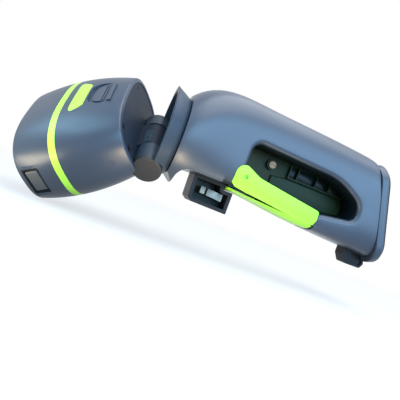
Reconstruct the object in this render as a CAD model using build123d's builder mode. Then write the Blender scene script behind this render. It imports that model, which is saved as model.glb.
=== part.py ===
"""Hand-held cordless power head of a snow tool: an oval motor head on a tilting and
swivelling neck, and a loop handle with a squeeze lever, a contact bracket and a foot.

Millimetres, +Z up, +X from the head towards the end plate, origin under the middle of
the whole tool.  The neck stands at rest swivelled and tilted, and all parts of the head
are drawn on planes that follow those two angles."""
import os
from math import atan2, ceil, copysign, cos, degrees, pi, radians, sin, sqrt

from build123d import *

os.makedirs("parts", exist_ok=True)

# ---- clearances ------------------------------------------------------------------
RUN = 0.05                     # radial play of a pin in its bore
SEAT = 0.15                    # play between pieces that are fixed together
GAP = 0.4                      # play between pieces that move past each other

# ---- where the swivel centre stands above the origin -----------------------------
HUB = Vector(-59.64, -27.08, 93.61)

# ---- neck ------------------------------------------------------------------------
SWIVEL_REST = 40.8             # the neck's turn at rest, from straight down
TILT_REST = 38.0               # the head's tilt at rest, from straight ahead
DISC_RADIUS = 42.0
DISC_THICK = 14.0
DISH_RADIUS = 38.0
DISH_DEPTH = 6.0
NECK_DROP = 15.6               # tilt axis to swivel axis
NECK_FORWARD = 2.3             # tilt axis ahead of the disc's front edge
BARREL_RADIUS = 12.2
ARM_HALF = 16.0                # half the width of the head's arm between the ears
ARM_SHIFT = 2.0                # the arm's middle, along the tilt axis
EAR_FAR = 25.0
EAR_NEAR = 36.0
CAP_THICK = 4.6
CAP_RADIUS = 13.0
PIN_RADIUS = 4.0
RELEASE_LENGTH = 18.0          # tilt release button on the arm
RELEASE_WIDTH = 6.4
RELEASE_THICK = 4.0
RELEASE_AT = 6.0
RELEASE_TRAVEL = 1.4
HUB_RADIUS = 12.0
HUB_LENGTH = 16.0

# ---- head ------------------------------------------------------------------------
HEAD_LENGTH = 93.8
HEAD_CREST = 58.2              # where the head is thickest, in the middle of its band
HEAD_SIZE = 50.0               # mean half size of the oval at the crest
HEAD_BULGE = 0.0026            # loss of half size per square millimetre from the crest
OVAL_RATIO = 0.8               # short side to mean size of the oval
OVAL_POWER = 2.7
HEAD_WALL = 3.6
RIM_ROUND = 1.4
HEAD_DRIFT = 0.045             # sideways drift of the oval's middle per millimetre of length
REAR_GAP = 8.5                 # tilt axis to the head's rear edge
HEAD_OFFSET = 18.0             # tilt axis below the head's middle
HEAD_SHIFT = 5.5               # the head's middle along the tilt axis
BAND_AT = 55.8
BAND_WIDTH = 6.4
BAND_DEPTH = 1.8
END_PLATE = 7.0
COVER_THICK = 3.2
RIM_STEP = 0.6                 # end plate and front cover lie this far inside the rims
SCREW_RADIUS = 1.5
SCREW_HEAD = 2.8
MOTOR_RADIUS = 24.0
MOTOR_LENGTH = 42.0
MOTOR_START = 12.0
GEARBOX_RADIUS = 22.0
GEARBOX_LENGTH = 18.0
SHAFT_RADIUS = 2.5
SPINDLE_RADIUS = 7.0
SOCKET_RADIUS = 4.0
SOCKET_DEPTH = 10.0
BEARING_RADIUS = 13.0
BEARING_THICK = 5.0
LABEL_LENGTH = 49.0
LABEL_WIDTH = 11.8
LABEL_AT = 40.3
LABEL_THICK = 1.0
THUMB_WIDTH = 36.0
THUMB_LENGTH = 26.0
THUMB_AT = 20.0
THUMB_DEPTH = 1.2
THUMB_FLANGE = 4.9             # depth of the flange that keeps the button in
THUMB_TRAVEL = 1.2
LATCH_LENGTH = 26.0
LATCH_WIDTH = 16.0
LATCH_AT = 81.3
LATCH_DEPTH = 2.6
LATCH_TRAVEL = 1.5

# ---- handle ----------------------------------------------------------------------
NECK_GAP = 0.5                 # disc to handle
FACE_AT = DISC_THICK + NECK_GAP
END_AT = 214.6                 # where the housing ends, on the swivel axis
END_LEAN = 16.5                # lean of the end plate
END_THICK = 10.0
WEB_NEAR = 4.0                 # near face of the web, across the handle
WEB_THICK = 3.5
WINDOW_ROUND = 5.0
FRONT_WALL = 6.0
LEVER_PIVOT = (80.3, -13.0)
LEVER_PIN_RADIUS = 2.0
LEVER_TRAVEL = 4.0
LEVER_WALL = 3.2
CORE_HALF = 23.2               # half the width of the rail inside the lever
CORE_BOTTOM = -25.3
CELL_RADIUS = 9.2
CELL_LENGTH = 65.0
CELL_SPREAD = 9.8
CELL_HEIGHT = 35.0
CELL_START = 67.0
BRACKET_TOP = -24.5
BRACKET_HALF = 15.0
BRACKET_WALL = 3.4
BLADE_LENGTH = 15.0
BRACKET_BACK = -8.0            # back of the bracket's pocket, across the handle
FOOT_WIDTH = 14.0
FOOT_RIM = 2.4
FOOT_RECESS = 1.6

ring_start = FACE_AT + FRONT_WALL + 1.6
RING_THICK = 1.4

# ---- planes and directions -------------------------------------------------------
swing, lean = radians(SWIVEL_REST), radians(TILT_REST)
REAR = Vector(1, 0, 0)
down = Vector(0, sin(swing), -cos(swing))
along = Vector(0, -cos(swing), -sin(swing))
ahead = down * sin(lean) - REAR * cos(lean)
side = down * cos(lean) + REAR * sin(lean)
PIVOT = HUB - REAR * NECK_FORWARD + down * NECK_DROP
HEAD_START = PIVOT + ahead * REAR_GAP - side * HEAD_OFFSET - along * HEAD_SHIFT

COLLAR = Plane(origin=HUB, x_dir=(0, 1, 0), z_dir=(1, 0, 0))
SIDE = Plane(origin=HUB, x_dir=(1, 0, 0), z_dir=(0, -1, 0))
TILT = Plane(origin=PIVOT, x_dir=side, z_dir=along)
HEAD = Plane(origin=HEAD_START, x_dir=side, z_dir=ahead)


def finish(builder, label):
    """Name a finished piece and write its file."""
    builder.part.label = label
    export_step(builder.part, f"parts/{label}.step")


def oval(half_x, half_y, power, low_power=None, count=24):
    """A closed smooth outline between an ellipse and a rounded rectangle; its lower half
    can be squarer than its upper half."""
    points = []
    for i in range(count):
        c, s = cos(2 * pi * i / count), sin(2 * pi * i / count)
        bend = 2 / (low_power if low_power and s < 0 else power)
        points.append((half_x * copysign(abs(c) ** bend, c), half_y * copysign(abs(s) ** bend, s)))
    Spline(*points, periodic=True)


def disc(plane, start, end, radius, mode=Mode.ADD, inner=0.0):
    """A round plug or ring between two distances along a plane's normal."""
    with BuildSketch(plane.offset(start)) as outline:
        Circle(radius)
        if inner:
            Circle(inner, mode=Mode.SUBTRACT)
    extrude(outline.sketch, amount=end - start, mode=mode)


# ---- the head's oval form --------------------------------------------------------
def head_size(at):
    return HEAD_SIZE - HEAD_BULGE * (at - HEAD_CREST) ** 2


def head_middle(at):
    """The middle of the oval, which drifts towards the near end from rear to front."""
    return HEAD_START + ahead * at + along * (HEAD_DRIFT * (at - HEAD_CREST))


def head_form(start, end, inset=0.0, mode=Mode.ADD):
    """The head's barrel shape between two distances from its rear edge."""
    steps = max(1, ceil((end - start) / 16))
    sections = []
    for i in range(steps + 1):
        at = start + (end - start) * i / steps
        with BuildSketch(Plane(origin=head_middle(at), x_dir=side, z_dir=ahead)) as section:
            with BuildLine():
                oval(head_size(at) * OVAL_RATIO - inset, head_size(at) / OVAL_RATIO - inset, OVAL_POWER)
            make_face()
        sections.append(section.sketch)
    loft(sections, mode=mode)


def head_point(x, y, at):
    return head_middle(at) + side * x + along * y


def broad_plane(at, height, shift=0.0):
    """A plane above the head's broad face, its x along the tilt axis, its y rearwards."""
    return Plane(origin=head_point(-height, shift, at), x_dir=along, z_dir=side * -1)


def narrow_plane(at, height, shift=0.0):
    """A plane beyond the head's narrow near end, its x downwards, its y rearwards."""
    return Plane(origin=head_point(shift, height, at), x_dir=side, z_dir=along)


gear_start = MOTOR_START + MOTOR_LENGTH + 4
cover_back = HEAD_LENGTH - RIM_STEP - COVER_THICK
band_start, band_end = BAND_AT - BAND_WIDTH / 2, BAND_AT + BAND_WIDTH / 2
broad_height = head_size(LABEL_AT) * OVAL_RATIO
thumb_height = head_size(THUMB_AT) * OVAL_RATIO
narrow_height = head_size(LATCH_AT) / OVAL_RATIO
ARM_SCREWS = [(-20.5, 33), (-20.5, -33), (19, -35.5), (-3, 40)]
COVER_SCREWS = [(x, y) for x in (-22.5, 22.5) for y in (-40, 40)]
BOSS_RADIUS = 4.2
near_ear, far_ear = ARM_SHIFT + ARM_HALF, ARM_SHIFT - ARM_HALF


def screw_bosses(at, length, places):
    """Bosses for self-tapping screws, each with a lug that joins it to the wall."""
    with BuildSketch(HEAD.offset(at)) as bosses:
        with Locations(*places):
            Circle(BOSS_RADIUS)
        for reach in (1.08, 1.16):
            with Locations(*[(reach * x, reach * y) for x, y in places]):
                Circle(HEAD_WALL - 0.6)
    extrude(bosses.sketch, amount=length)
    with BuildSketch(HEAD.offset(at)) as holes:
        with Locations(*places):
            Circle(SCREW_RADIUS)
    extrude(holes.sketch, amount=length, mode=Mode.SUBTRACT)


def screw(plane, places, grip, length):
    """Pan-head screws whose heads sit on a plane, their shanks pointing against its normal."""
    with BuildSketch(plane) as heads:
        with Locations(*places):
            Circle(SCREW_HEAD)
            RegularPolygon(SCREW_RADIUS * 0.7, 6, mode=Mode.SUBTRACT)
    extrude(heads.sketch, amount=1.8)
    with BuildSketch(plane) as shanks:
        with Locations(*places):
            Circle(SCREW_RADIUS)
    extrude(shanks.sketch, amount=-grip - length)
    extrude(shanks.sketch, amount=0.6)


def thumb_outline(margin):
    """The D-shaped outline of the thumb recess: square at the rear, round in front."""
    Rectangle(THUMB_WIDTH - 2 * margin, THUMB_LENGTH - 2 * margin)
    front = [v for v in vertices() if v.Y < 0]
    fillet(front, THUMB_WIDTH / 3 - margin)


def release_plane(height):
    """A plane above the upper side of the arm, its x along the tilt axis."""
    centre = PIVOT + along * RELEASE_AT - side * height
    return Plane(origin=centre, x_dir=along, z_dir=side * -1)


with BuildPart() as head_rear_shell:
    head_form(0, band_start)
    fillet(edges().sort_by(Axis(HEAD_START, ahead))[0], RIM_ROUND)
    head_form(band_start - 0.5, BAND_AT - SEAT / 2, inset=BAND_DEPTH + SEAT)
    head_form(-1, BAND_AT + 1, inset=HEAD_WALL, mode=Mode.SUBTRACT)
    # ring that holds the motor, on a cross of ribs
    with BuildSketch(HEAD.offset(MOTOR_START)):
        Rectangle(2 * head_size(MOTOR_START) * OVAL_RATIO - HEAD_WALL, 3.0)
        Rectangle(3.0, 2 * head_size(MOTOR_START) / OVAL_RATIO - HEAD_WALL)
        Circle(MOTOR_RADIUS + 2.8)
    extrude(amount=MOTOR_LENGTH - 4)
    disc(HEAD, MOTOR_START - 1, MOTOR_START + MOTOR_LENGTH, MOTOR_RADIUS + SEAT, Mode.SUBTRACT)
    screw_bosses(END_PLATE + SEAT, 14, ARM_SCREWS)
    # room for the neck's ears
    disc(TILT, near_ear - GAP, EAR_NEAR + CAP_THICK + GAP, CAP_RADIUS + GAP, Mode.SUBTRACT)
    disc(TILT, -EAR_FAR - CAP_THICK - GAP, far_ear + GAP, CAP_RADIUS + GAP, Mode.SUBTRACT)
    # recesses for the label plate and the thumb button
    with BuildSketch(broad_plane(LABEL_AT, broad_height - LABEL_THICK - SEAT)):
        RectangleRounded(LABEL_LENGTH + 2 * SEAT, LABEL_WIDTH + 2 * SEAT, 4)
    extrude(amount=6, mode=Mode.SUBTRACT)
    with BuildSketch(broad_plane(THUMB_AT, thumb_height - THUMB_DEPTH)):
        thumb_outline(0)
    extrude(amount=6, mode=Mode.SUBTRACT)
    with BuildSketch(broad_plane(THUMB_AT, thumb_height - HEAD_WALL - 4)):
        thumb_outline(4 - GAP)
    extrude(amount=10, mode=Mode.SUBTRACT)
    with BuildSketch(broad_plane(THUMB_AT, thumb_height - THUMB_FLANGE)):
        thumb_outline(2.4 - GAP)
    extrude(amount=-1.2 - THUMB_TRAVEL - GAP, mode=Mode.SUBTRACT)
finish(head_rear_shell, "head_rear_shell")

with BuildPart() as head_band:
    head_form(band_start + SEAT, band_end - SEAT)
    head_form(band_start - 1, band_end + 1, inset=BAND_DEPTH, mode=Mode.SUBTRACT)
finish(head_band, "head_band")

with BuildPart() as head_front_shell:
    head_form(band_end, HEAD_LENGTH)
    fillet(edges().sort_by(Axis(HEAD_START, ahead))[-1], RIM_ROUND)
    head_form(BAND_AT + SEAT / 2, band_end + 0.5, inset=BAND_DEPTH + SEAT)
    head_form(BAND_AT - 1, HEAD_LENGTH + 1, inset=HEAD_WALL, mode=Mode.SUBTRACT)
    # ring that holds the gearbox, on a cross of ribs
    with BuildSketch(HEAD.offset(gear_start + 4)):
        Rectangle(2 * head_size(HEAD_LENGTH) * OVAL_RATIO - HEAD_WALL, 3.0)
        Rectangle(3.0, 2 * head_size(HEAD_LENGTH) / OVAL_RATIO - HEAD_WALL)
        Circle(GEARBOX_RADIUS + 2.8)
    extrude(amount=GEARBOX_LENGTH - 4)
    disc(HEAD, gear_start, HEAD_LENGTH, GEARBOX_RADIUS + SEAT, Mode.SUBTRACT)
    screw_bosses(cover_back - SEAT - 14, 14, COVER_SCREWS)
    # seat for the latch in the narrow end
    with BuildSketch(narrow_plane(LATCH_AT, narrow_height - HEAD_WALL - 5)):
        RectangleRounded(LATCH_LENGTH + 5, LATCH_WIDTH + 0.6, 2)
    extrude(amount=5 + HEAD_WALL - 1.2)
    with BuildSketch(narrow_plane(LATCH_AT, narrow_height - LATCH_DEPTH)):
        RectangleRounded(LATCH_LENGTH, LATCH_WIDTH, 1.5)
    extrude(amount=6, mode=Mode.SUBTRACT)
    with BuildSketch(narrow_plane(LATCH_AT, narrow_height - HEAD_WALL - 4)):
        RectangleRounded(LATCH_LENGTH - 5, LATCH_WIDTH - 4, 1.2)
    extrude(amount=8, mode=Mode.SUBTRACT)
finish(head_front_shell, "head_front_shell")

with BuildPart() as tilt_arm:
    head_form(-1, HEAD_CREST + 1, inset=HEAD_WALL + SEAT)
    disc(HEAD, RIM_STEP, END_PLATE, 2 * HEAD_SIZE, Mode.INTERSECT)
    with BuildSketch(TILT.offset(far_ear + GAP)):
        Circle(BARREL_RADIUS)
        Polygon((-BARREL_RADIUS, 0), (BARREL_RADIUS, 0), (BARREL_RADIUS * 0.75, -REAR_GAP - 2),
                (-BARREL_RADIUS, -REAR_GAP - 2), align=None)
    extrude(amount=2 * (ARM_HALF - GAP))
    disc(TILT, near_ear - GAP, EAR_NEAR + CAP_THICK + GAP, CAP_RADIUS + GAP, Mode.SUBTRACT)
    disc(TILT, -EAR_FAR - CAP_THICK - GAP, far_ear + GAP, CAP_RADIUS + GAP, Mode.SUBTRACT)
    disc(TILT, -EAR_FAR, EAR_NEAR, PIN_RADIUS + RUN, Mode.SUBTRACT)
    # pocket of the tilt release button, on the arm's upper side
    with BuildSketch(release_plane(BARREL_RADIUS - RELEASE_THICK)):
        RectangleRounded(RELEASE_LENGTH + 2 * SEAT, RELEASE_WIDTH + 2 * SEAT, 1)
    extrude(amount=RELEASE_THICK + 2, mode=Mode.SUBTRACT)
    with BuildSketch(HEAD):
        with Locations(*ARM_SCREWS):
            Circle(SCREW_RADIUS + SEAT)
    extrude(amount=END_PLATE + 1, mode=Mode.SUBTRACT)
    with BuildSketch(HEAD):
        with Locations(*ARM_SCREWS):
            Circle(SCREW_HEAD + SEAT)
    extrude(amount=RIM_STEP + 2, mode=Mode.SUBTRACT)
finish(tilt_arm, "tilt_arm")

with BuildPart() as arm_screws:
    plate_face = HEAD.offset(RIM_STEP + 2)
    screw(Plane(origin=plate_face.origin, x_dir=side, z_dir=ahead * -1), [(x, -y) for x, y in ARM_SCREWS],
          END_PLATE - RIM_STEP - 2, 8)
finish(arm_screws, "arm_screws")

with BuildPart() as tilt_release_button:
    with BuildSketch(release_plane(BARREL_RADIUS - RELEASE_THICK + RELEASE_TRAVEL + SEAT)):
        RectangleRounded(RELEASE_LENGTH, RELEASE_WIDTH, 1)
    extrude(amount=RELEASE_THICK - RELEASE_TRAVEL)
    with BuildSketch(release_plane(BARREL_RADIUS + SEAT)):
        with GridLocations(3, 1, 6, 1):
            Rectangle(1.2, RELEASE_WIDTH - 1.4)
    extrude(amount=0.8)
finish(tilt_release_button, "tilt_release_button")

with BuildPart() as label_plate:
    with BuildSketch(broad_plane(LABEL_AT, broad_height - LABEL_THICK)):
        RectangleRounded(LABEL_LENGTH, LABEL_WIDTH, 4)
    extrude(amount=6)
    head_form(LABEL_AT - LABEL_WIDTH, LABEL_AT + LABEL_WIDTH, mode=Mode.INTERSECT)
finish(label_plate, "label_plate")

with BuildPart() as thumb_button:
    with BuildSketch(broad_plane(THUMB_AT, thumb_height - THUMB_FLANGE)):
        thumb_outline(4)
    extrude(amount=THUMB_FLANGE - 0.3)
    with BuildSketch(broad_plane(THUMB_AT, thumb_height - THUMB_FLANGE)):
        thumb_outline(2.4)
    extrude(amount=-1.2)
    # steps for the thumb across the button
    with BuildSketch(broad_plane(THUMB_AT, thumb_height - THUMB_DEPTH)):
        with Locations((0, 4.4)):
            Rectangle(THUMB_WIDTH, 3.2)
        with Locations((0, 1.2)):
            Rectangle(THUMB_WIDTH, 1.2)
    extrude(amount=2, mode=Mode.SUBTRACT)
finish(thumb_button, "thumb_button")

with BuildPart() as head_latch:
    with BuildSketch(narrow_plane(LATCH_AT, narrow_height - HEAD_WALL - 2)):
        RectangleRounded(LATCH_LENGTH - 5 - 2 * GAP, LATCH_WIDTH - 4 - 2 * GAP, 1)
    extrude(amount=HEAD_WALL + 2 - 0.8)
    fillet(edges().group_by(Axis(HEAD_START, along))[-1], 0.8)
finish(head_latch, "head_latch")

with BuildPart() as head_front_cover:
    head_form(HEAD_CREST - 1, HEAD_LENGTH + 1, inset=HEAD_WALL + SEAT)
    disc(HEAD, cover_back, cover_back + COVER_THICK, 2 * HEAD_SIZE, Mode.INTERSECT)
    disc(HEAD, cover_back - 1, HEAD_LENGTH, SPINDLE_RADIUS + GAP, Mode.SUBTRACT)
    with BuildSketch(HEAD.offset(cover_back)):
        with Locations(*COVER_SCREWS):
            Circle(SCREW_RADIUS + SEAT)
    extrude(amount=COVER_THICK + 1, mode=Mode.SUBTRACT)
    with BuildSketch(HEAD.offset(cover_back + 2)):
        with Locations(*COVER_SCREWS):
            Circle(SCREW_HEAD + SEAT)
    extrude(amount=COVER_THICK, mode=Mode.SUBTRACT)
finish(head_front_cover, "head_front_cover")

with BuildPart() as front_cover_screws:
    screw(HEAD.offset(cover_back + 2), COVER_SCREWS, 2, 8)
finish(front_cover_screws, "front_cover_screws")

# ---- drive inside the head -------------------------------------------------------
motor_end = MOTOR_START + MOTOR_LENGTH

with BuildPart() as motor_can:
    disc(HEAD, MOTOR_START, motor_end, MOTOR_RADIUS)
    disc(HEAD, MOTOR_START + 2, motor_end - 2, MOTOR_RADIUS - 2.5, Mode.SUBTRACT)
    disc(HEAD, MOTOR_START - 1, motor_end + 1, SHAFT_RADIUS + GAP, Mode.SUBTRACT)
    with BuildSketch(HEAD.offset(motor_end - 2)):
        with PolarLocations(MOTOR_RADIUS * 0.6, 6):
            Circle(3.2)
    extrude(amount=2, mode=Mode.SUBTRACT)
finish(motor_can, "motor_can")

with BuildPart() as motor_magnets:
    disc(HEAD, MOTOR_START + 6, motor_end - 6, MOTOR_RADIUS - 2.5 - RUN, inner=MOTOR_RADIUS - 6.5)
    with BuildSketch(HEAD.offset(MOTOR_START)):
        Rectangle(2 * MOTOR_RADIUS, 4)
    extrude(amount=MOTOR_LENGTH, mode=Mode.SUBTRACT)
finish(motor_magnets, "motor_magnets")

with BuildPart() as motor_rotor:
    disc(HEAD, MOTOR_START - 4.5, gear_start + 3.4, SHAFT_RADIUS)
    disc(HEAD, MOTOR_START + 7, motor_end - 7, MOTOR_RADIUS - 7.3)
    # winding slots of the armature
    with BuildSketch(HEAD.offset(MOTOR_START + 7)):
        with PolarLocations(MOTOR_RADIUS - 9.8, 5):
            SlotOverall(6, 2.2)
    extrude(amount=MOTOR_LENGTH - 14, mode=Mode.SUBTRACT)
finish(motor_rotor, "motor_rotor")

with BuildPart() as cooling_fan:
    disc(HEAD, motor_end + 0.6, motor_end + 3.4, 6, inner=SHAFT_RADIUS)
    with BuildSketch(HEAD.offset(motor_end + 0.6)):
        with PolarLocations(11.5, 9):
            SlotOverall(13, 1.4, rotation=20)
        Circle(5, mode=Mode.SUBTRACT)
    extrude(amount=2.8)
finish(cooling_fan, "cooling_fan")

with BuildPart() as gearbox_case:
    disc(HEAD, gear_start, gear_start + GEARBOX_LENGTH, GEARBOX_RADIUS)
    disc(HEAD, gear_start + 2, gear_start + GEARBOX_LENGTH + 1, GEARBOX_RADIUS - 3, Mode.SUBTRACT)
    disc(HEAD, gear_start - 1, gear_start + 3, SHAFT_RADIUS + GAP, Mode.SUBTRACT)
finish(gearbox_case, "gearbox_case")

with BuildPart() as output_spindle:
    disc(HEAD, gear_start + 5, gear_start + GEARBOX_LENGTH - BEARING_THICK - GAP, GEARBOX_RADIUS - 3 - 3 * GAP)
    disc(HEAD, gear_start + GEARBOX_LENGTH - BEARING_THICK - GAP, HEAD_LENGTH - RIM_STEP, SPINDLE_RADIUS)
    disc(HEAD, HEAD_LENGTH - RIM_STEP - SOCKET_DEPTH, HEAD_LENGTH, SOCKET_RADIUS, Mode.SUBTRACT)
finish(output_spindle, "output_spindle")

with BuildPart() as spindle_bearing:
    spindle_seat = gear_start + GEARBOX_LENGTH - BEARING_THICK
    disc(HEAD, spindle_seat, spindle_seat + BEARING_THICK, GEARBOX_RADIUS - 3 - RUN, inner=SPINDLE_RADIUS + RUN)
finish(spindle_bearing, "spindle_bearing")

with BuildPart() as rotor_bearing:
    disc(HEAD, MOTOR_START - 4, MOTOR_START, BEARING_RADIUS - 4, inner=SHAFT_RADIUS + RUN)
finish(rotor_bearing, "rotor_bearing")

# ---- neck ------------------------------------------------------------------------
with BuildPart() as swivel_disc:
    disc(COLLAR, 0, DISC_THICK, DISC_RADIUS)
    fillet(edges().sort_by(Axis.X)[0], 0.8)
    chamfer(edges().sort_by(Axis.X)[-1], 5, 3)
    with BuildSketch(COLLAR):
        Circle(DISH_RADIUS)
    extrude(amount=DISH_DEPTH, taper=40, mode=Mode.SUBTRACT)
    disc(TILT, -EAR_FAR, EAR_NEAR, CAP_RADIUS)
    disc(TILT, -EAR_FAR - CAP_THICK - SEAT, -EAR_FAR, CAP_RADIUS + SEAT, Mode.SUBTRACT)
    disc(TILT, EAR_NEAR, 1.5 * DISC_RADIUS, CAP_RADIUS + SEAT, Mode.SUBTRACT)
    disc(TILT, far_ear, near_ear, CAP_RADIUS + GAP, Mode.SUBTRACT)
    disc(TILT, -EAR_FAR - 1, EAR_NEAR + 1, PIN_RADIUS + RUN, Mode.SUBTRACT)
    disc(COLLAR, DISC_THICK, DISC_THICK + HUB_LENGTH, HUB_RADIUS)
    # groove for the retaining ring
    disc(COLLAR, ring_start, ring_start + RING_THICK, HUB_RADIUS, Mode.SUBTRACT, inner=HUB_RADIUS - 1.5)
finish(swivel_disc, "swivel_disc")

with BuildPart() as tilt_pin:
    disc(TILT, -EAR_FAR, EAR_NEAR, PIN_RADIUS)
finish(tilt_pin, "tilt_pin")

with BuildPart() as tilt_cap_near:
    disc(TILT, EAR_NEAR, EAR_NEAR + CAP_THICK, CAP_RADIUS)
    fillet(edges().sort_by(Axis(PIVOT, along))[-1], 1.2)
finish(tilt_cap_near, "tilt_cap_near")

with BuildPart() as tilt_cap_far:
    disc(TILT, -EAR_FAR - CAP_THICK, -EAR_FAR, CAP_RADIUS)
    fillet(edges().sort_by(Axis(PIVOT, along))[0], 1.2)
finish(tilt_cap_far, "tilt_cap_far")

with BuildPart() as swivel_washer:
    disc(COLLAR, FACE_AT + FRONT_WALL + SEAT, ring_start - SEAT, HUB_RADIUS + 6, inner=HUB_RADIUS + RUN)
finish(swivel_washer, "swivel_washer")

with BuildPart() as swivel_ring:
    disc(COLLAR, ring_start + RUN, ring_start + RING_THICK - RUN, HUB_RADIUS + 3, inner=HUB_RADIUS - 1.5 + RUN)
    with BuildSketch(COLLAR.offset(ring_start)):
        with Locations((0, HUB_RADIUS)):
            Rectangle(6, 10)
    extrude(amount=RING_THICK, mode=Mode.SUBTRACT)
finish(swivel_ring, "swivel_ring")

# ---- handle housing --------------------------------------------------------------
# each section's distance from the swivel centre, its top, bottom and half width, and how
# square its upper and lower halves are
HOUSING = [(FACE_AT, 39.4, -39.4, 39.4, 2.0, 2.0), (28, 50.4, -39.0, 39.5, 2.1, 2.2),
           (46, 56.0, -33.0, 35.5, 2.4, 3.0), (78, 56.4, -28.8, 29.5, 2.8, 5.0),
           (120, 54.4, -33.0, 27.5, 3.1, 6.0), (165, 52.4, -37.2, 27.3, 3.2, 6.0),
           (192, 50.4, -39.2, 28.0, 3.3, 4.5)]
END_TOP, END_BOTTOM, END_HALF, END_POWER = 46.8, -43.5, 29.0, 3.6
END = Plane(origin=HUB + REAR * END_AT, x_dir=(0, 1, 0),
            z_dir=(cos(radians(END_LEAN)), 0, sin(radians(END_LEAN))))
SIDE_CUT = 60.0                # longer than any half width


end_middle = (END_TOP + END_BOTTOM) / 2
END_CENTRE = Plane(origin=END.from_local_coords((0, end_middle, 0)), x_dir=END.x_dir, z_dir=END.z_dir)


def section(at, top, bottom, half_width, power, low_power):
    centre = HUB + Vector(at, 0, (top + bottom) / 2)
    with BuildSketch(Plane(origin=centre, x_dir=(0, 1, 0), z_dir=(1, 0, 0))) as outline:
        with BuildLine():
            oval(half_width, (top - bottom) / 2, power, low_power)
        make_face()
    return outline.sketch


with BuildSketch(END_CENTRE) as end_section:
    with BuildLine():
        oval(END_HALF, (END_TOP - END_BOTTOM) / 2, END_POWER)
    make_face()

with BuildPart() as housing_form:
    loft([section(*station) for station in HOUSING] + [end_section.sketch])


def side_face(points, rounds, margin=0.0):
    """A face drawn from its corners, each corner rounded by its own radius."""
    Polygon(*points, align=None)
    for point, radius in zip(points, rounds):
        if radius:
            fillet(vertices().sort_by_distance(Vector(*point))[0], radius)
    if margin:
        offset(amount=margin)


WINDOW = [(77.5, -10.0), (77.5, 19.4), (168, 16.0), (194.6, 1.5), (194.6, -14.5), (157, -19.5)]
WINDOW_ROUNDS = [3, 9, 60, 14, 7, 0]
LEVER_FRONT, LEVER_REAR = 69.8, 158.5
LEVER = [(LEVER_FRONT, -50), (LEVER_FRONT, -2.6), (79.5, -3.6), (93, -9.4), (LEVER_REAR - 1, -18.2),
         (LEVER_REAR, -26), (LEVER_REAR - 3, -36), (LEVER_REAR - 3, -50)]
LEVER_ROUNDS = [0, 8, 4, 25, 3, 0, 0, 0]
FLOOR_FRONT, FLOOR_REAR, FLOOR_RUN = -25.9, -33.4, 9.0    # the lever's inner floor
# notches between the lever's cheeks and its floor, at both ends
FRONT_NOTCH = [(66, -20.2), (69.4, -20.6), (74, -24.1), (89.5, -26.3), (89.5, -27.4), (69, -25.6), (66, -25.5)]
REAR_NOTCH = [(147, -33.0), (153, -32.6), (162, -30.5), (162, -34.6), (147, -34.2)]


def squeezed(point):
    """Where a point of the lever goes when the lever is squeezed home."""
    turn = radians(LEVER_TRAVEL)
    x, z = point[0] - LEVER_PIVOT[0], point[1] - LEVER_PIVOT[1]
    return (LEVER_PIVOT[0] + x * cos(turn) - z * sin(turn), LEVER_PIVOT[1] + z * cos(turn) + x * sin(turn))


SCREW_SPOTS = [(30, 44), (58, -21), (206, 8), (181, -29)]
CAVITY_START, CAVITY_END, CAVITY_BOTTOM, CAVITY_TOP, CAVITY_HALF = FACE_AT + FRONT_WALL, 64.0, -18.6, 35.0, 22.0
WEB_SCREW_AT = (109, 9.6)
SWITCH_AT, SWITCH_TOP = 107.0, -17.0
SPRING_AT, SPRING_TOP, SPRING_RADIUS = 142.0, -21.6, 3.0

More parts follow.
